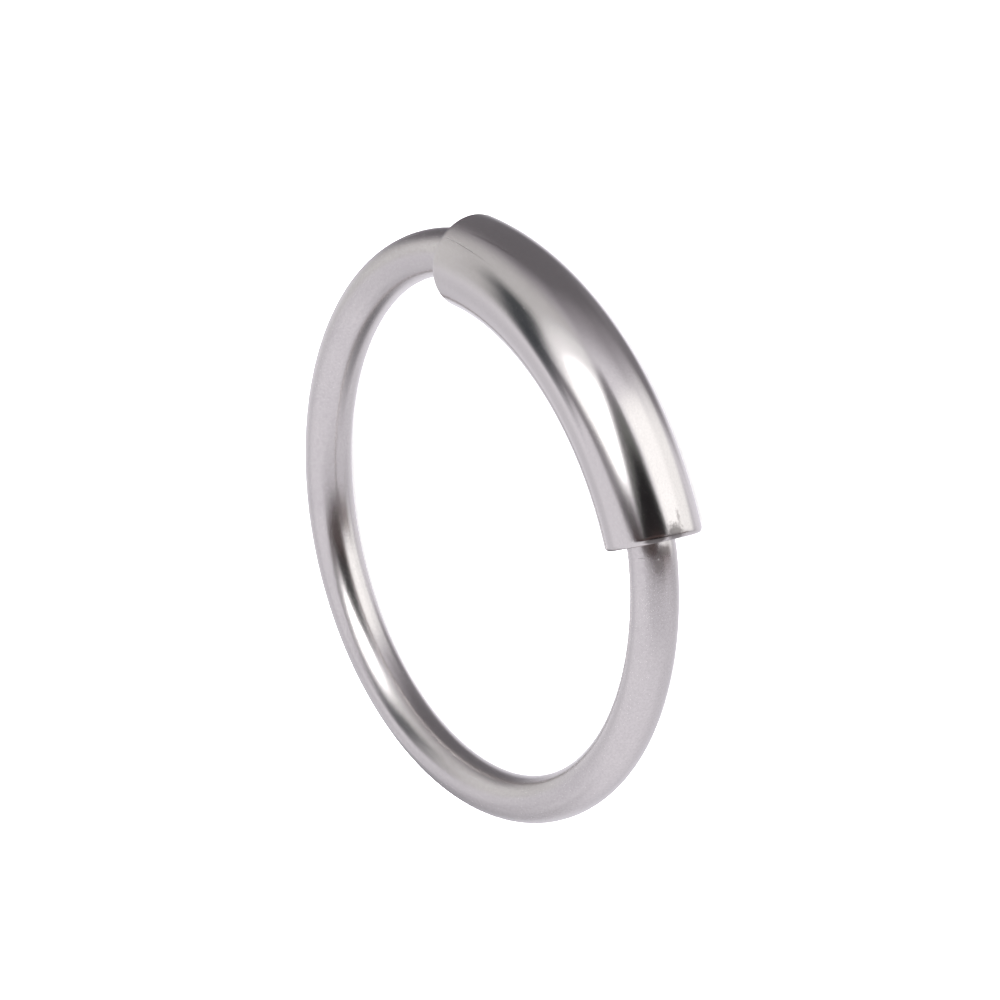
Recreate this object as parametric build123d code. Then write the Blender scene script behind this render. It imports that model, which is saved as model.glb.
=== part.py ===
from build123d import *
import math
import os

# Lip ring: a round steel wire bent into an open hoop, with a short bent tube over its two ends.
# Sizes are in millimetres. The ring lies on its side as it rests by itself, Z is up, and the tube
# is towards -Y. Its origin is at the middle of its base.

# Hoop of wire
wire_diameter = 1.2
hoop_inner_diameter = 12.7
tip_gap = 2.0              # between the wire's two tips, hidden in the middle of the tube
tip_rounding = 0.2

# Tube that closes the hoop
tube_wall = 0.4
tube_length = 9.8          # along its centre line
tube_flatness = 1.3        # added to the hoop's radius for the tube's own bend, which is straighter
rim_rounding = 0.12
bore_rim_rounding = 0.06

# The wire's way through the tube
bore_clearance = 0.2       # all round, between a centred wire and the bore
lean_gap = 0.05            # left where the wire leans: on the inner side at the -X end, outer at the other
mouth_bend_radius = 1.5    # of the short bend from the hoop's circle to the bore

wire_radius = wire_diameter / 2
hoop_radius = hoop_inner_diameter / 2 + wire_radius
bore_radius = wire_radius + bore_clearance
tube_radius = bore_radius + tube_wall
tube_bend_radius = hoop_radius + tube_flatness
lean = bore_clearance - lean_gap
tube_half_angle = math.degrees(tube_length / 2 / tube_bend_radius)
tip_angle = math.degrees(tip_gap / 2 / tube_bend_radius)


def spot(radius, angle):
    """A point in the ring's plane, its angle counted from -Y towards +X about the tube's bend centre."""
    return Vector(0, -radius).rotate(Axis.Z, angle)


def bearing(start, end):
    """The angle of the line from start to end, counted as in spot."""
    way = end - start
    return math.degrees(math.atan2(way.X, -way.Y))


def arc(centre, radius, start_angle, end_angle):
    return CenterArc(centre, radius, start_angle - 90, end_angle - start_angle)


inner_mouth = spot(tube_bend_radius - lean - mouth_bend_radius, -tube_half_angle)
outer_mouth = spot(tube_bend_radius + lean - mouth_bend_radius, tube_half_angle)


def find_hoop_centre():
    """The hoop's circle touches the bends at both mouths from outside."""
    between = outer_mouth - inner_mouth
    height = math.sqrt((hoop_radius - mouth_bend_radius) ** 2 - (between.length / 2) ** 2)
    return (inner_mouth + outer_mouth) / 2 + between.normalized().rotate(Axis.Z, 90) * height


hoop_centre = find_hoop_centre()


def wire_path():
    """From the tip on the +X side, round the back of the hoop, to the tip on the -X side."""
    leave = bearing(hoop_centre, outer_mouth)
    arrive = bearing(hoop_centre, inner_mouth)
    bend_centre = Vector(0, 0)
    return Wire([
        arc(bend_centre, tube_bend_radius + lean, tip_angle, tube_half_angle),
        arc(outer_mouth, mouth_bend_radius, tube_half_angle, leave),
        arc(hoop_centre, hoop_radius, leave, arrive + 360),
        arc(inner_mouth, mouth_bend_radius, arrive, -tube_half_angle),
        arc(bend_centre, tube_bend_radius - lean, -tube_half_angle, -tip_angle),
    ])


def sweep_along(path, profile):
    return sweep(Plane(origin=path @ 0, z_dir=path % 0) * profile, path=path)


def ends(piece):
    return piece.faces().filter_by(GeomType.PLANE)


def make_hoop_wire():
    wire = sweep_along(wire_path(), Circle(wire_radius))
    return fillet(ends(wire).edges(), tip_rounding)


def make_closure_tube():
    path = arc(Vector(0, 0), tube_bend_radius, -tube_half_angle, tube_half_angle)
    tube = sweep_along(path, Circle(tube_radius) - Circle(bore_radius))
    rims = [edge for end in ends(tube) for edge in end.outer_wire().edges()]
    tube = fillet(rims, rim_rounding)
    mouths = [edge for end in ends(tube) for wire in end.inner_wires() for edge in wire.edges()]
    return fillet(mouths, bore_rim_rounding)


def lay_down(pieces):
    """The tube is thicker than the wire, so the ring rests on the tube's two ends and the back of the wire."""
    ends_to_back = tube_bend_radius * math.cos(math.radians(tube_half_angle)) + hoop_centre.Y + hoop_radius
    tilt = math.degrees(math.asin((tube_radius - wire_radius) / ends_to_back))
    tilted = {name: Rot(-tilt, 0, 0) * piece for name, piece in pieces.items()}
    box = Compound(list(tilted.values())).bounding_box()
    to_base = Pos(-box.center().X, -box.center().Y, -box.min.Z)
    return {name: to_base * piece for name, piece in tilted.items()}


ring = lay_down({"hoop_wire": make_hoop_wire(), "closure_tube": make_closure_tube()})

os.makedirs("parts", exist_ok=True)
for name, piece in ring.items():
    export_step(piece, f"parts/{name}.step")
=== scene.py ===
import bpy
import math
from mathutils import Matrix, Vector


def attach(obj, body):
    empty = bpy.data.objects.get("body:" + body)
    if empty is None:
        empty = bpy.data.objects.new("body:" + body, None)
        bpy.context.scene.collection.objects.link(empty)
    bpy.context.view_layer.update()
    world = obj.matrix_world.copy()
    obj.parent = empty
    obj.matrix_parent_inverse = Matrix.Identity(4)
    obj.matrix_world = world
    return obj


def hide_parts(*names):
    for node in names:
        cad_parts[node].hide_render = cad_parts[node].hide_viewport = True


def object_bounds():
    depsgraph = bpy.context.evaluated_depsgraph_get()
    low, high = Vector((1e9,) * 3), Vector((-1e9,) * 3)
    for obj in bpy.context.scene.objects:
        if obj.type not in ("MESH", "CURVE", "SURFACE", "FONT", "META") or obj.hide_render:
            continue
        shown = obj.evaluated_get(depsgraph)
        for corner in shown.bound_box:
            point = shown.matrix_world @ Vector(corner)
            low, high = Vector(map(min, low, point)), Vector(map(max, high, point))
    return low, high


# A lip ring: a round steel wire bent into an open hoop, with a short bent tube over its two ends.
# It is modelled flat, in the ring's own plane with the tube towards -Y, and then laid on the floor.

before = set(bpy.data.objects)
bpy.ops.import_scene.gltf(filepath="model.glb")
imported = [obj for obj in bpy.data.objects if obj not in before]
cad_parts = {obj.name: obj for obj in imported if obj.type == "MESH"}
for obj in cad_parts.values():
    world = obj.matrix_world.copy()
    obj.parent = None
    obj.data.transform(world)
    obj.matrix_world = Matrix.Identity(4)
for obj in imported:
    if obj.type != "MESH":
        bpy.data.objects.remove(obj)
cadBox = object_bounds()
mm = 0.001
weldDistance = 0.001 * mm      # points closer than this are one point
planeTolerance = 0.002 * mm    # how far off its end plane a rim's point may lie
rimTolerance = 0.02            # and off its radius, as a share of it

hoop = {
    "wireDiameter": 1.2 * mm,
    "innerDiameter": 12.7 * mm,
    "tipGap": 2.0 * mm,            # between the two tips, inside the tube
    "tipRounding": 0.2 * mm,
    "tipInset": 0.2 * mm,          # a ring of faces in each flat tip, for its shading
    "roundingSegments": 5,
    "mouthBendRadius": 1.5 * mm,   # the short bend from the hoop's circle into the bore
    "lean": 0.15 * mm,             # how far the wire lies off the bore's middle, inwards at the -X mouth
    "sidesAround": 64,
    "stepAngle": 1.5,              # degrees for each step along the hoop
    "stepsInTube": 12,
    "stepsInMouthBend": 6,
}

tube = {
    "wall": 0.4 * mm,
    "length": 9.8 * mm,            # along its middle line
    "bendRadius": 8.25 * mm,       # straighter than the hoop
    "boreClearance": 0.2 * mm,
    "rimRounding": 0.12 * mm,
    "boreRimRounding": 0.06 * mm,
    "roundingSegments": 5,
    "boreRoundingSegments": 4,
    "sidesAround": 96,
    "steps": 60,
}

wireRadius = hoop["wireDiameter"] / 2
hoopRadius = hoop["innerDiameter"] / 2 + wireRadius
boreRadius = wireRadius + tube["boreClearance"]
tubeRadius = boreRadius + tube["wall"]
tubeHalfAngle = tube["length"] / 2 / tube["bendRadius"]
tipAngle = hoop["tipGap"] / 2 / tube["bendRadius"]
thickest = 1.5 * mm            # no point of a piece lies farther from its middle line
bendCentre = Vector((0, 0, 0))


def spot(radius, angle):
    # a point in the ring's plane, its angle counted from -Y towards +X
    return Vector((radius * math.sin(angle), -radius * math.cos(angle), 0))


def bearing(start, end):
    way = end - start
    return math.atan2(way.x, -way.y)


innerMouth = spot(tube["bendRadius"] - hoop["lean"] - hoop["mouthBendRadius"], -tubeHalfAngle)
outerMouth = spot(tube["bendRadius"] + hoop["lean"] - hoop["mouthBendRadius"], tubeHalfAngle)


def findHoopCentre():
    # the hoop's circle touches the bends at both mouths from outside
    between = outerMouth - innerMouth
    height = math.sqrt((hoopRadius - hoop["mouthBendRadius"]) ** 2 - (between.length / 2) ** 2)
    return (innerMouth + outerMouth) / 2 + Vector((-between.y, between.x, 0)).normalized() * height


hoopCentre = findHoopCentre()


def wireArcs():
    # centre, radius, start and end angle of each bend, from the +X tip round the back to the -X tip
    leave = bearing(hoopCentre, outerMouth)
    arrive = bearing(hoopCentre, innerMouth) + 2 * math.pi
    lastMouth = 2 * math.pi - tubeHalfAngle
    return [
        (bendCentre, tube["bendRadius"] + hoop["lean"], tipAngle, tubeHalfAngle),
        (outerMouth, hoop["mouthBendRadius"], tubeHalfAngle, leave),
        (hoopCentre, hoopRadius, leave, arrive),
        (innerMouth, hoop["mouthBendRadius"], arrive, lastMouth),
        (bendCentre, tube["bendRadius"] - hoop["lean"], lastMouth, 2 * math.pi - tipAngle),
    ]


def tubeArcs():
    return [(bendCentre, tube["bendRadius"], -tubeHalfAngle, tubeHalfAngle)]


def endPlanes(arcs):
    # the middle of each end and the direction along the path there
    found = []
    for centre, radius, angle in (arcs[0][:3], (*arcs[-1][:2], arcs[-1][3])):
        found.append((centre + spot(radius, angle), Vector((math.cos(angle), math.sin(angle), 0))))
    return found


def spinAlong(name, arcs, steps, radius, sides):
    # a circle across the start of the first bend, spun along each bend in turn
    bpy.ops.object.select_all(action="DESELECT")
    start = endPlanes(arcs)[0][0]
    bpy.ops.mesh.primitive_circle_add(
        vertices=sides,
        radius=radius,
        fill_type="NOTHING",
        location=start,
        rotation=(0, math.pi / 2, arcs[0][2]),
    )
    piece = bpy.context.object
    piece.name = name
    piece.data.name = name
    bpy.ops.object.transform_apply(location=True, rotation=True, scale=True)
    bpy.ops.object.mode_set(mode="EDIT")
    bpy.ops.mesh.select_all(action="SELECT")
    for (centre, bendRadius, startAngle, endAngle), count in zip(arcs, steps):
        # spin turns clockwise about its axis, so the axis points down
        bpy.ops.mesh.spin(steps=count, angle=endAngle - startAngle, center=centre, axis=(0, 0, -1))
    bpy.ops.mesh.select_all(action="SELECT")
    bpy.ops.mesh.remove_doubles(threshold=weldDistance)
    bpy.ops.mesh.select_all(action="SELECT")
    bpy.ops.mesh.normals_make_consistent(inside=False)
    bpy.ops.object.mode_set(mode="OBJECT")
    return piece


def selectRims(piece, arcs, radius):
    # selects the circle of edges with this radius in the planes of the two ends
    onRim = set()
    for point in piece.data.vertices:
        for middle, along in endPlanes(arcs):
            away = point.co - middle
            if abs(away.dot(along)) < planeTolerance and abs(away.length - radius) < rimTolerance * radius:
                onRim.add(point.index)
    bpy.ops.object.mode_set(mode="EDIT")
    bpy.ops.mesh.select_mode(type="EDGE")
    bpy.ops.mesh.select_all(action="DESELECT")
    bpy.ops.object.mode_set(mode="OBJECT")
    for edge in piece.data.edges:
        edge.select = all(v in onRim for v in edge.vertices)
    bpy.ops.object.mode_set(mode="EDIT")


def rememberStraight(piece, arcs):
    # each point's place before the piece was bent: outwards, upwards and along, for the finish to follow
    straight = piece.data.attributes.new("straight", "FLOAT_VECTOR", "POINT")
    lengths = [radius * (endAngle - startAngle) for centre, radius, startAngle, endAngle in arcs]
    for point in piece.data.vertices:
        best = None
        for number, (centre, radius, startAngle, endAngle) in enumerate(arcs):
            away = point.co - centre
            angle = bearing(centre, point.co)
            middleAngle = (startAngle + endAngle) / 2
            angle += 2 * math.pi * round((middleAngle - angle) / (2 * math.pi))
            outside = max(startAngle - angle, angle - endAngle, 0)
            off = math.hypot(away.x, away.y) - radius
            miss = outside * radius + max(abs(off) - thickest, 0)
            if best is None or miss < best[0]:
                best = (miss, off, sum(lengths[:number]) + radius * (angle - startAngle))
        straight.data[point.index].vector = (best[1], point.co.z, best[2])


def makeHoopWire():
    arcs = wireArcs()
    hoopSteps = round(math.degrees(arcs[2][3] - arcs[2][2]) / hoop["stepAngle"])
    inTube = hoop["stepsInTube"]
    inMouthBend = hoop["stepsInMouthBend"]
    steps = [inTube, inMouthBend, hoopSteps, inMouthBend, inTube]
    piece = spinAlong("hoopWire", arcs, steps, wireRadius, hoop["sidesAround"])
    selectRims(piece, arcs, wireRadius)
    bpy.ops.mesh.edge_face_add()
    bpy.ops.mesh.inset(thickness=hoop["tipInset"])
    selectRims(piece, arcs, wireRadius)
    bpy.ops.mesh.bevel(offset=hoop["tipRounding"], segments=hoop["roundingSegments"], affect="EDGES")
    bpy.ops.object.mode_set(mode="OBJECT")
    rememberStraight(piece, arcs)
    return piece


def makeClosureTube():
    arcs = tubeArcs()
    piece = spinAlong("closureTube", arcs, [tube["steps"]], tubeRadius, tube["sidesAround"])
    wall = piece.modifiers.new("wall", "SOLIDIFY")
    wall.thickness = tube["wall"]
    wall.offset = -1
    wall.use_even_offset = True
    bpy.ops.object.modifier_apply(modifier="wall")
    selectRims(piece, arcs, tubeRadius)
    bpy.ops.mesh.bevel(offset=tube["rimRounding"], segments=tube["roundingSegments"], affect="EDGES")
    bpy.ops.object.mode_set(mode="OBJECT")
    selectRims(piece, arcs, boreRadius)
    bpy.ops.mesh.bevel(offset=tube["boreRimRounding"], segments=tube["boreRoundingSegments"], affect="EDGES")
    bpy.ops.object.mode_set(mode="OBJECT")
    rememberStraight(piece, arcs)
    return piece


def smooth(piece):
    # large faces lead the shading, so the flat ends stay flat beside their roundings
    bpy.ops.object.select_all(action="DESELECT")
    piece.select_set(True)
    bpy.context.view_layer.objects.active = piece
    bpy.ops.object.shade_smooth()
    lead = piece.modifiers.new("lead", "WEIGHTED_NORMAL")
    lead.weight = 100
    bpy.ops.object.modifier_apply(modifier="lead")


def lowAndHigh(pieces):
    points = [v.co for piece in pieces for v in piece.data.vertices]
    low = Vector([min(p[i] for p in points) for i in range(3)])
    high = Vector([max(p[i] for p in points) for i in range(3)])
    return low, high


def applyPlace(pieces):
    bpy.ops.object.select_all(action="DESELECT")
    for piece in pieces:
        piece.select_set(True)
    bpy.context.view_layer.objects.active = pieces[0]
    bpy.ops.object.transform_apply(location=True, rotation=True, scale=True)


def layDown(pieces):
    # the tube is thicker than the wire, so the ring leans: it rests on the tube's ends and the hoop's back
    endsToBack = tube["bendRadius"] * math.cos(tubeHalfAngle) + hoopCentre.y + hoopRadius
    tilt = math.asin((tubeRadius - wireRadius) / endsToBack)
    for piece in pieces:
        piece.rotation_euler.x = -tilt
    applyPlace(pieces)
    low, high = lowAndHigh(pieces)
    move = (cadBox[0] + cadBox[1]) / 2 - (low + high) / 2
    move.z = cadBox[0].z - low.z
    for piece in pieces:
        piece.location = move
    applyPlace(pieces)
    middle = Matrix.Rotation(-tilt, 4, "X") @ hoopCentre + move
    print("laid down, leaning", round(math.degrees(tilt), 2), "degrees")
    return middle


hoopWire = makeHoopWire()
closureTube = makeClosureTube()
for piece in (hoopWire, closureTube):
    smooth(piece)
    print("modelled", piece.name, len(piece.data.polygons), "faces")
ringMiddle = layDown([hoopWire, closureTube])

nodeSpacing = 220              # between the nodes in the editor
noiseLow = 0.3                 # a noise texture's values mostly lie between these two
noiseHigh = 0.7
speckleLow = 0.35


def colour(code):
    # an sRGB hex value as linear red, green, blue
    parts = [int(code[i:i + 2], 16) / 255 for i in (1, 3, 5)]
    return (*[c / 12.92 if c <= 0.04045 else ((c + 0.055) / 1.055) ** 2.4 for c in parts], 1)


def addNode(tree, kind, values={}, links={}, **settings):
    node = tree.nodes.new("ShaderNode" + kind)
    node.location = (nodeSpacing * len(tree.nodes), 0)
    for name, value in settings.items():
        setattr(node, name, value)
    for name, value in values.items():
        node.inputs[name].default_value = value
    for name, socket in links.items():
        tree.links.new(socket, node.inputs[name])
    return node


def newMaterial(name):
    material = bpy.data.materials.new(name)
    material.use_nodes = True
    material.node_tree.nodes.clear()
    return material, material.node_tree


# 316L stainless wire, drawn through a die and tumbled: a satin grey with very fine lines along it
drawnSteel = {
    "radius": wireRadius,
    "colour": "#DAD5D1",
    "dullColour": "#CDC8C6",
    "grainColour": "#A8A3A0",
    "roughness": 0.24,
    "roughnessSpread": 0.06,
    "lineWidth": 0.05 * mm,        # drawing lines, coarser than real ones so that they show
    "lineLength": 1.6 * mm,
    "lineDepth": 0.0006 * mm,
    "grain": 0.055 * mm,           # tumbling grain
    "grainDepth": 0.0012 * mm,
    "grainTone": 0.2,
    "cloud": 1.8 * mm,             # size of the slightly duller clouds
    "wave": 1.3 * mm,              # the wire isn't quite straight in its surface
    "waveDepth": 0.004 * mm,
}

# 316L stainless tube, cut from drawn tube and polished: smoother than the wire, with a few tool marks
polishedSteel = {
    "radius": tubeRadius,
    "colour": "#DAD5D1",
    "dullColour": "#CDC8C5",
    "grainColour": "#B4AFAC",
    "roughness": 0.15,
    "roughnessSpread": 0.04,
    "lineWidth": 0.06 * mm,
    "lineLength": 2.5 * mm,
    "lineDepth": 0.0004 * mm,
    "grain": 0.05 * mm,
    "grainDepth": 0.0004 * mm,
    "grainTone": 0.16,
    "cloud": 2.2 * mm,
    "wave": 1.6 * mm,
    "waveDepth": 0.006 * mm,
}

# Marks seen in the photograph. Along is counted in mm from the end where the piece starts, around in
# degrees from the outermost line up over the top, tilt in degrees between the two, and the half sizes are
# in mm. Edge is the soft share of the mark, ragged is how much noise of the given size in mm frays it,
# and depth in mm is negative for a dent.
markColumns = (
    "name", "along", "around", "halfLength", "halfWidth", "tilt", "edge", "ragged", "raggedSize",
    "colour", "strength", "roughen", "depth",
)
tubeMarks = [
    ("hairline seam", 8.8, 49, 1.1, 0.018, 0, 0.8, 0.3, 0.3, "#6A6460", 0.45, 0.1, -0.001),
    # painted reflection: a thin dark line laid into the tube's colour where something thin and dark is
    # mirrored
    ("painted reflection line", 8.3, 26, 1.2, 0.06, 6, 0.9, 0.3, 0.3, "#7A7470", 0.35, 0.05, -0.0006),
    ("satin mouth", 9.8, 35, 2.0, 2.2, 0, 0.9, 0.3, 0.12, "#CFCAC7", 0.3, 0.12, 0.0004),
    ("rough patch", 0.12, 7, 0.3, 0.32, 0, 0.7, 0.4, 0.07, "#5E5957", 0.7, 0.2, -0.0005),
    ("rough patch's tail", 0.45, -1, 0.22, 0.07, 0, 0.8, 0.6, 0.06, "#7A7471", 0.4, 0.2, -0.0006),
    # painted reflection: the rounding of the cut rim is painted dark, standing in for dark surroundings
    # mirrored there
    ("painted dark rim reflection", 0.06, 33, 0.08, 0.36, 0, 0.5, 0.1, 0.1, "#453F3C", 0.85, 0.05, 0),
]
wireMarks = [
    # painted shade and reflection: the wire just below the tube's mouth is painted darker, most of all at
    # the mouth, for the tube's shade and its mirrored rim
    ("painted mouth shade", 37.1, 24, 0.32, 0.15, 0, 0.7, 0.5, 0.08, "#7D7571", 0.4, 0.1, 0),
    ("painted mouth shade's root", 37.33, 6, 0.14, 0.26, 0, 0.7, 0.4, 0.08, "#6A6360", 0.6, 0.1, 0),
    ("light dot", 37.2, 23, 0.03, 0.03, 0, 0.9, 0.1, 0.1, "#F2F0EE", 0.7, 0.1, 0.004),
    ("short scratch", 37.25, 60, 0.015, 0.16, 0, 0.8, 0.4, 0.1, "#8E8884", 0.35, 0.1, -0.0008),
    ("thin scratch", 6.0, 30, 0.5, 0.014, 0, 0.7, 0.3, 0.2, "#5F5A57", 0.5, 0.1, -0.001),
]


def addMark(tree, row, look, place, surface):
    # an oval with a frayed edge, laid over the colour, the roughness and the relief so far
    mark = dict(zip(markColumns, row))
    local = addNode(
        tree,
        "Mapping",
        {
            "Location": (mark["along"] * mm, math.radians(mark["around"]) * look["radius"], 0),
            "Rotation": (0, 0, math.radians(mark["tilt"])),
            "Scale": (mark["halfLength"] * mm, mark["halfWidth"] * mm, 1),
        },
        {"Vector": place},
        vector_type="TEXTURE",
        label=mark["name"],
    )
    far = addNode(tree, "VectorMath", links={0: local.outputs["Vector"]}, operation="LENGTH")
    fray = addNode(
        tree, "TexNoise", {"Scale": 1 / (mark["raggedSize"] * mm), "Detail": 4.0}, {"Vector": place}
    )
    frayed = addNode(
        tree,
        "Math",
        {1: 2 * mark["ragged"]},
        {0: fray.outputs["Fac"], 2: far.outputs["Value"]},
        operation="MULTIPLY_ADD",
    )
    outer = 1 + mark["ragged"]
    cover = addNode(
        tree,
        "MapRange",
        {"From Min": outer - mark["edge"], "From Max": outer, "To Min": 1, "To Max": 0},
        {"Value": frayed.outputs["Value"]},
        interpolation_type="SMOOTHSTEP",
    ).outputs["Result"]
    share = addNode(tree, "Math", {1: mark["strength"]}, {0: cover}, operation="MULTIPLY")
    tone = addNode(
        tree,
        "MixRGB",
        {"Color2": colour(mark["colour"])},
        {"Fac": share.outputs["Value"], "Color1": surface["tone"]},
    )
    rough = addNode(
        tree, "Math", {1: mark["roughen"]}, {0: cover, 2: surface["rough"]}, operation="MULTIPLY_ADD"
    )
    relief = addNode(
        tree,
        "Bump",
        {"Strength": 1.0, "Distance": mark["depth"] * mm},
        {"Height": cover, "Normal": surface["normal"]},
    )
    return {
        "tone": tone.outputs["Color"],
        "rough": rough.outputs["Value"],
        "normal": relief.outputs["Normal"],
    }


def steelMaterial(name, look, marks):
    material, tree = newMaterial(name)
    straight = addNode(tree, "Attribute", attribute_name="straight").outputs["Vector"]
    stretch = addNode(
        tree, "Mapping", {"Scale": (1, 1, look["lineWidth"] / look["lineLength"])}, {"Vector": straight}
    )
    lines = addNode(
        tree,
        "TexNoise",
        {"Scale": 1 / look["lineWidth"], "Detail": 3.0},
        {"Vector": stretch.outputs["Vector"]},
    )
    grain = addNode(tree, "TexNoise", {"Scale": 1 / look["grain"], "Detail": 2.0}, {"Vector": straight})
    cloud = addNode(tree, "TexNoise", {"Scale": 1 / look["cloud"], "Detail": 4.0}, {"Vector": straight})
    wave = addNode(tree, "TexNoise", {"Scale": 1 / look["wave"], "Detail": 1.0}, {"Vector": straight})
    cloudy = addNode(
        tree,
        "MixRGB",
        {"Color1": colour(look["colour"]), "Color2": colour(look["dullColour"])},
        {"Fac": cloud.outputs["Fac"]},
    )
    speckle = addNode(
        tree,
        "MapRange",
        {"From Min": speckleLow, "From Max": noiseHigh, "To Min": 0, "To Max": look["grainTone"]},
        {"Value": grain.outputs["Fac"]},
    )
    grainy = addNode(
        tree,
        "MixRGB",
        {"Color2": colour(look["grainColour"])},
        {"Fac": speckle.outputs["Result"], "Color1": cloudy.outputs["Color"]},
    )
    rough = addNode(
        tree,
        "MapRange",
        {
            "From Min": noiseLow,
            "From Max": noiseHigh,
            "To Min": look["roughness"] - look["roughnessSpread"] / 2,
            "To Max": look["roughness"] + look["roughnessSpread"] / 2,
        },
        {"Value": cloud.outputs["Fac"]},
    )
    waveBump = addNode(
        tree, "Bump", {"Strength": 1.0, "Distance": look["waveDepth"]}, {"Height": wave.outputs["Fac"]}
    )
    lineBump = addNode(
        tree,
        "Bump",
        {"Strength": 1.0, "Distance": look["lineDepth"]},
        {"Height": lines.outputs["Fac"], "Normal": waveBump.outputs["Normal"]},
    )
    grainBump = addNode(
        tree,
        "Bump",
        {"Strength": 1.0, "Distance": look["grainDepth"]},
        {"Height": grain.outputs["Fac"], "Normal": lineBump.outputs["Normal"]},
    )
    surface = {
        "tone": grainy.outputs["Color"],
        "rough": rough.outputs["Result"],
        "normal": grainBump.outputs["Normal"],
    }
    # the surface unrolled flat: x along the piece, y around it
    apart = addNode(tree, "SeparateXYZ", links={"Vector": straight})
    around = addNode(
        tree, "Math", links={0: apart.outputs["Y"], 1: apart.outputs["X"]}, operation="ARCTAN2"
    )
    arc = addNode(tree, "Math", {1: look["radius"]}, {0: around.outputs["Value"]}, operation="MULTIPLY")
    place = addNode(tree, "CombineXYZ", links={"X": apart.outputs["Z"], "Y": arc.outputs["Value"]})
    for row in marks:
        surface = addMark(tree, row, look, place.outputs["Vector"], surface)
    steel = addNode(
        tree,
        "BsdfPrincipled",
        {"Metallic": 1.0},
        {"Base Color": surface["tone"], "Roughness": surface["rough"], "Normal": surface["normal"]},
    )
    addNode(tree, "OutputMaterial", links={"Surface": steel.outputs["BSDF"]})
    return material


hoopWire.data.materials.append(steelMaterial("drawnSteel", drawnSteel, wireMarks))
closureTube.data.materials.append(steelMaterial("polishedSteel", polishedSteel, tubeMarks))

for piece, node, slot in (
    (hoopWire, "hoop_wire", "wire_steel"),
    (closureTube, "closure_tube", "tube_steel"),
):
    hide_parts(node)
    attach(piece, "root")
print("finished the two pieces")

# The studio: a pale lit floor, and a white tent round the ring with two soft panels in it, a slot for the
# camera and dark gaps, which the steel mirrors. The tent is painted on its inside, card over card, and a
# small grey card close to the hoop holds painted shade, which only the steel mirrors. Of these, the camera
# sees only the floor.

studio = {
    "tentRadius": 83 * mm,
    "tentSides": 240,
    "tentRings": 120,
    "tentColour": ("lilac", 0.95),
    "floorRadius": 600 * mm,
    "floorColour": "#F4F4F4",
    "floorMottle": "#F2F2F2",
    "floorMottleSize": 3 * mm,
    "background": "#FFFFFF",
    "floorLightSize": 200 * mm,
    "floorLightHeight": 60 * mm,
    "floorLightPower": 0.6,
    "floorGlow": 0.5,              # the floor is a lit white sheet, so the shadow on it stays faint
    # the small grey card close to the hoop is painted shade, a dark glowing card that only the steel mirrors
    "standShade": 0.25,            # brightness of the small grey card behind the hoop
    "standShadeSize": (12 * mm, 8 * mm),
    "standShadePlace": (-1.6 * mm, 10.5 * mm, -4 * mm),   # from the hoop's middle
    "standShadeFacing": -130,
    "standShadeCore": 0.1,         # share of its size before it starts to fade
}

# linear red, green and blue at brightness 1, which the steel mirrors a little darker
tints = {
    "white": (1.0, 1.01, 1.05),
    "warm": (1.0, 1.01, 1.03),
    "beige": (1.0, 1.0, 1.03),
    "grey": (1.0, 0.96, 1.06),
    "green": (0.97, 1.01, 1.0),
    "brown": (1.3, 0.92, 0.9),
    "blue": (0.84, 1.0, 1.2),
    "lilac": (1.0, 0.99, 1.08),
}

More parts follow.
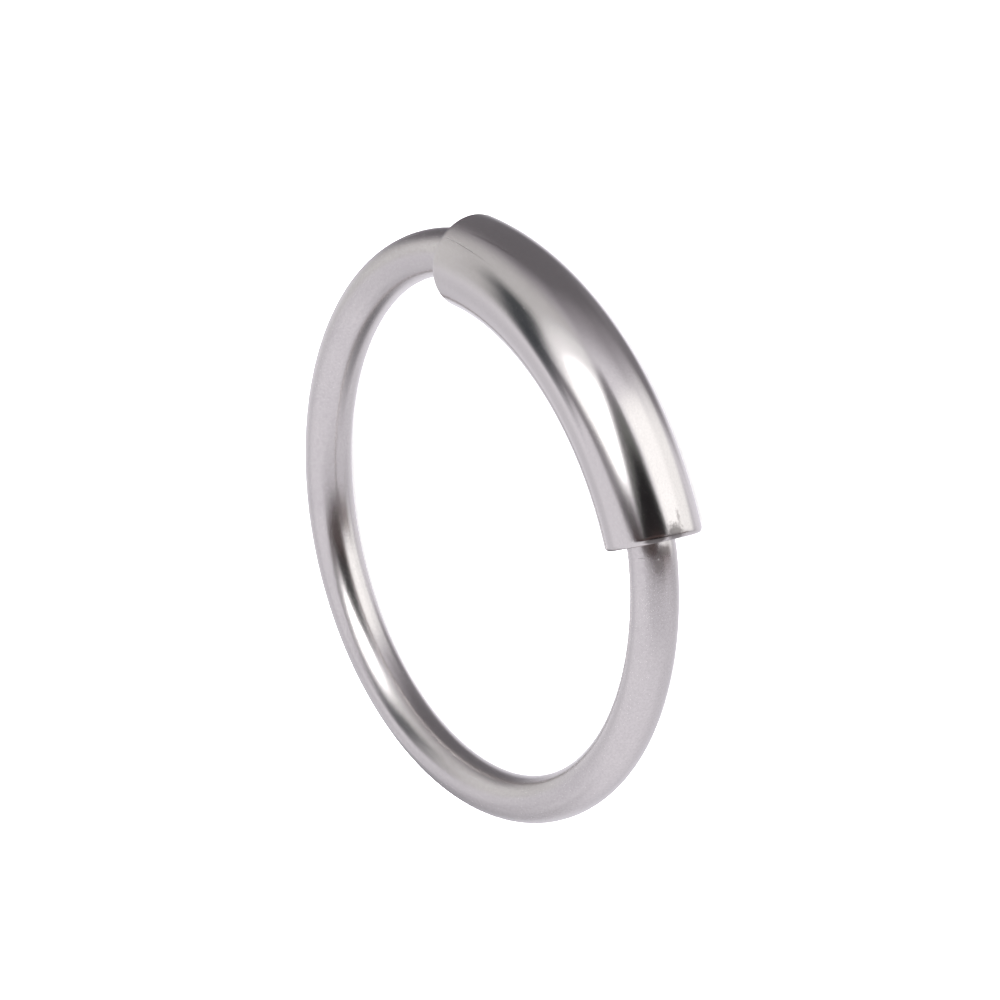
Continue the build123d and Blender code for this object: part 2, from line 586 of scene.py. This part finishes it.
# Each card faces the ring from an azimuth (from -Y towards +X) and an elevation. Its corners are degrees to
# the right and up from there, soft is how far its edge is blurred each way in degrees, and later cards lie
# over earlier ones.
cardColumns = ("name", "facing", "corners", "soft", "tint", "brightness")
cards = [
    ("low left", (-115, -50), [(-50, -30), (-50, 30), (50, 30), (50, -30)], 18, "lilac", 0.82),
    ("beside the slot", (-80, 20), [(-10, -40), (-10, 50), (14, 50), (14, -40)], 9, "lilac", 0.8),
    ("back", (178, 4), [(-26, -14), (-22, 18), (22, 18), (22, -14)], 10, "lilac", 0.68),
    ("low back", (150, -42), [(-34, -16), (-30, 16), (34, 16), (34, -16)], 10, "lilac", 1.0),
    ("right wall", (5, 40), [
        (18, -22), (24, 10), (34, 40), (60, 52), (110, 46), (118, 0), (60, -25),
    ], 8, "beige", 0.7),
    ("back, upper", (158, 24), [(-16, -14), (-16, 14), (22, 14), (22, -14)], 9, "lilac", 0.77),
    ("far wall", (112, 30), [(-20, -12), (-18, 8), (0, 12), (14, 9), (14, -12)], 7, "beige", 0.88),
    ("low right, outer", (60, -25), [
        (-42, 30), (-26, 38), (-10, 42), (52, 30), (58, -10), (20, -44), (-22, -38), (-42, -10),
    ], 13, "grey", 0.38),
    ("low right, inner", (60, -25), [
        (-24, 22), (-8, 30), (50, 24), (52, -5), (20, -36), (-10, -32), (-24, -6),
    ], 9, "grey", 0.19),
    ("low right, foot", (72, -64), [
        (-24, -8), (-16, 8), (0, 12), (18, 8), (18, -6), (0, -16),
    ], 8, "grey", 0.26),
    ("slot's foot", (-52, -64), [(-14, -14), (-14, 16), (14, 16), (14, -14)], 10, "lilac", 0.6),
    ("over the top", (5, 40), [
        (-30, 12), (-26, 32), (-16, 42), (-4, 48), (10, 51),
        (40, 53), (58, 60), (60, 54), (40, 46), (0, 30),
    ], 2.5, "grey", 0.32),
    ("over the top, left", (5, 40), [
        (-28, 20), (-22, 32), (-12, 41), (0, 47), (0, 41), (-14, 26),
    ], 2.5, "grey", 0.13),
    ("camera slot, low", (-53, -25), [
        (-5, -25), (-6, 10), (-9, 25), (9, 25), (9, -25),
    ], 4, "brown", 0.13),
    ("camera slot", (-53, 20), [(-9, -34), (-9, 10), (-8, 55), (10, 55), (10, -34)], 4, "brown", 0.06),
    ("dark room, right", (5, 40), [
        (-20, 18), (-12, 14), (0, -8), (10, -18), (9, -27), (-20, -28),
    ], 4, "grey", 0.3),
    ("dark room", (5, 40), [
        (-30, 24), (-16, 16), (-2, -14), (-2, -27), (-30, -28), (-48, -30), (-46, 0),
    ], 4, "green", 0.2),
    ("dark room, deep", (5, 40), [
        (-30, 24), (-22, 16), (-13, -12), (-18, -23), (-48, -28), (-46, 0),
    ], 5, "grey", 0.02),
    ("warm streak", (5, 40), [
        (-29, 26), (-32, 8), (-37, -8), (-45, -22), (-52, -24), (-44, 0), (-38, 20),
    ], 2.5, "brown", 0.085),
    ("far gap's foot", (5, 40), [(34, 16), (34, 30), (58, 34), (52, 18)], 5, "beige", 0.38),
    ("upper panel's glow", (5, 40), [
        (-10, 14), (-7, 25), (3, 35), (25, 43), (32, 42),
        (32, 22), (27, 0), (19, -18), (10, -16), (0, 0),
    ], 5, "white", 1.1),
    ("upper panel", (5, 40), [
        (-12, 15), (-10, 23), (-3, 31), (7, 35), (22, 40), (27, 38),
        (24, 25), (18, 10), (13, -4), (9, -12), (4, -10), (-5, 4),
    ], 4, "white", 1.7),
    ("upper panel's core", (5, 40), [
        (-6, 16), (-3, 23), (5, 27), (15, 29), (19, 27), (15, 12), (10, 0), (6, -4), (1, 4),
    ], 4, "white", 9.0),
    ("lower panel's foot", (-17, -55), [(-16, -14), (-20, 26), (19, 26), (18, -14)], 9, "warm", 1.35),
    ("lower panel", (-17, -20), [
        (-22, -16), (-22, 15), (-10, 22), (0, 24), (22, 28), (20, -16),
    ], 5, "warm", 1.55),
    ("far gap", (5, 40), [
        (36, 24), (36, 36), (41, 48), (52, 55), (66, 60), (76, 58), (64, 48), (56, 38), (50, 24),
    ], 4, "blue", 0.05),
]


def softStep(low, high, value):
    share = min(max((value - low) / (high - low), 0), 1)
    return share * share * (3 - 2 * share)


def depthInside(corners, x, y):
    # how far inside the card a place is, in degrees, or below 0 outside it
    nearest = 1000
    isInside = False
    for (x0, y0), (x1, y1) in zip(corners, corners[1:] + corners[:1]):
        alongX = x1 - x0
        alongY = y1 - y0
        share = ((x - x0) * alongX + (y - y0) * alongY) / (alongX * alongX + alongY * alongY)
        share = min(max(share, 0), 1)
        nearest = min(nearest, math.hypot(x - x0 - share * alongX, y - y0 - share * alongY))
        if (y0 > y) != (y1 > y) and x < x0 + (y - y0) * alongX / alongY:
            isInside = not isInside
    return nearest if isInside else -nearest


def paintTent(tent):
    table = [dict(zip(cardColumns, row)) for row in cards]
    for card in table:
        azimuth, elevation = [math.radians(a) for a in card["facing"]]
        turned = Matrix.Rotation(azimuth, 3, "Z") @ Matrix.Rotation(-elevation, 3, "X")
        card["right"] = turned @ Vector((1, 0, 0))
        card["up"] = turned @ Vector((0, 0, 1))
        card["away"] = turned @ Vector((0, -1, 0))
        card["colour"] = Vector(tints[card["tint"]]) * card["brightness"]
        card["reach"] = max(math.hypot(x, y) for x, y in card["corners"]) + card["soft"]
    baseTint, baseBrightness = studio["tentColour"]
    glow = tent.data.color_attributes.new("glow", "FLOAT_COLOR", "POINT")
    for point in tent.data.vertices:
        direction = point.co.normalized()
        shade = Vector(tints[baseTint]) * baseBrightness
        for card in table:
            x = math.degrees(math.atan2(direction.dot(card["right"]), direction.dot(card["away"])))
            y = math.degrees(math.asin(max(-1, min(1, direction.dot(card["up"])))))
            if max(abs(x), abs(y)) < card["reach"]:
                cover = softStep(-card["soft"], card["soft"], depthInside(card["corners"], x, y))
                shade = shade.lerp(card["colour"], cover)
        glow.data[point.index].color = (*shade, 1)


def makeTent():
    bpy.ops.object.select_all(action="DESELECT")
    bpy.ops.mesh.primitive_uv_sphere_add(
        segments=studio["tentSides"], ring_count=studio["tentRings"], radius=studio["tentRadius"]
    )
    tent = bpy.context.object
    tent.name = "lightTent"
    bpy.ops.object.shade_smooth()
    paintTent(tent)
    tent.location = ringMiddle
    # thin white nylon, woven and lit from outside, with the cards hung behind it
    material, tree = newMaterial("litCloth")
    glow = addNode(tree, "Attribute", attribute_name="glow")
    light = addNode(tree, "Emission", links={"Color": glow.outputs["Color"]})
    addNode(tree, "OutputMaterial", links={"Surface": light.outputs["Emission"]})
    material.cycles.emission_sampling = "NONE"
    tent.data.materials.append(material)
    tent.visible_camera = False
    tent.visible_shadow = False


def makeFloor():
    bpy.ops.object.select_all(action="DESELECT")
    bpy.ops.mesh.primitive_circle_add(vertices=96, radius=studio["floorRadius"], fill_type="NGON")
    floor = bpy.context.object
    floor.name = "floor"
    floor.location.z = cadBox[0].z
    # matt white card, rolled smooth and lit from below
    material, tree = newMaterial("paleCard")
    position = addNode(tree, "TexCoord").outputs["Object"]
    mottle = addNode(
        tree, "TexNoise", {"Scale": 1 / studio["floorMottleSize"], "Detail": 3.0}, {"Vector": position}
    )
    tone = addNode(
        tree,
        "MixRGB",
        {"Color1": colour(studio["floorColour"]), "Color2": colour(studio["floorMottle"])},
        {"Fac": mottle.outputs["Fac"]},
    )
    card = addNode(tree, "BsdfDiffuse", {"Roughness": 0.5}, {"Color": tone.outputs["Color"]})
    glow = addNode(tree, "Emission", {"Strength": studio["floorGlow"]}, {"Color": tone.outputs["Color"]})
    both = addNode(tree, "AddShader", links={0: card.outputs["BSDF"], 1: glow.outputs["Emission"]})
    addNode(tree, "OutputMaterial", links={"Surface": both.outputs["Shader"]})
    material.cycles.emission_sampling = "NONE"
    floor.data.materials.append(material)
    floor.visible_glossy = False   # the ring mirrors the tent's lower half instead


def makeStandShade():
    # in the photograph the upper left wire mirrors something darker that must be close to the ring
    bpy.ops.object.select_all(action="DESELECT")
    bpy.ops.mesh.primitive_circle_add(vertices=64, radius=1, fill_type="NGON")
    shade = bpy.context.object
    shade.name = "standShade"
    shade.scale = (*studio["standShadeSize"], 1)
    shade.rotation_euler = (math.pi / 2, 0, math.radians(studio["standShadeFacing"]))
    shade.location = ringMiddle + Vector(studio["standShadePlace"])
    # painted shade: a dark glowing card that only the steel's reflections see, fading out towards its edge
    material, tree = newMaterial("paintedShadeCard")
    place = addNode(tree, "TexCoord").outputs["Object"]
    far = addNode(tree, "VectorMath", links={0: place}, operation="LENGTH")
    cover = addNode(
        tree,
        "MapRange",
        {"From Min": studio["standShadeCore"], "From Max": 1, "To Min": 1, "To Max": 0},
        {"Value": far.outputs["Value"]},
        interpolation_type="SMOOTHSTEP",
    )
    clear = addNode(tree, "BsdfTransparent")
    tint = (*tints["lilac"], 1)
    shadeGlow = addNode(tree, "Emission", {"Color": tint, "Strength": studio["standShade"]})
    edge = addNode(
        tree,
        "MixShader",
        links={"Fac": cover.outputs["Result"], 1: clear.outputs["BSDF"], 2: shadeGlow.outputs["Emission"]},
    )
    addNode(tree, "OutputMaterial", links={"Surface": edge.outputs["Shader"]})
    material.cycles.emission_sampling = "NONE"
    shade.data.materials.append(material)
    shade.visible_camera = False
    shade.visible_diffuse = False
    shade.visible_shadow = False


def makeLights():
    world = bpy.data.worlds.new("studio")
    world.use_nodes = True
    world.node_tree.nodes["Background"].inputs["Color"].default_value = colour(studio["background"])
    bpy.context.scene.world = world
    lamp = bpy.data.lights.new("floorLight", "AREA")
    lamp.size = studio["floorLightSize"]
    lamp.energy = studio["floorLightPower"]
    light = bpy.data.objects.new("floorLight", lamp)
    bpy.context.scene.collection.objects.link(light)
    light.location = ringMiddle + Vector((0, 0, studio["floorLightHeight"]))
    light.visible_glossy = False
    light.visible_camera = False


# the photograph's angle to the ring, which stands upright there: here the camera is rolled instead
view = {
    "aim": Vector((0.33, -0.435, 0.57)) * mm,
    "azimuth": -34.015,
    "elevation": 36.14,
    "roll": -100.87,
    "distance": 168.1 * mm,
    "lens": 242.86,
    "nearest": 10 * mm,
    "farthest": 2000 * mm,
}


def makeCamera():
    data = bpy.data.cameras.new("camera")
    data.lens = view["lens"]
    data.clip_start = view["nearest"]
    data.clip_end = view["farthest"]
    camera = bpy.data.objects.new("camera", data)
    bpy.context.scene.collection.objects.link(camera)
    turned = Matrix.Rotation(math.radians(view["azimuth"]), 4, "Z")
    turned = turned @ Matrix.Rotation(math.radians(90 - view["elevation"]), 4, "X")
    back = turned @ Vector((0, 0, view["distance"]))
    rolled = turned @ Matrix.Rotation(math.radians(view["roll"]), 4, "Z")
    camera.matrix_world = Matrix.Translation(view["aim"] + back) @ rolled
    bpy.context.scene.camera = camera


makeTent()
makeStandShade()
makeFloor()
makeLights()
makeCamera()
bpy.context.scene.view_settings.view_transform = "Standard"
print("set up the studio and the camera")
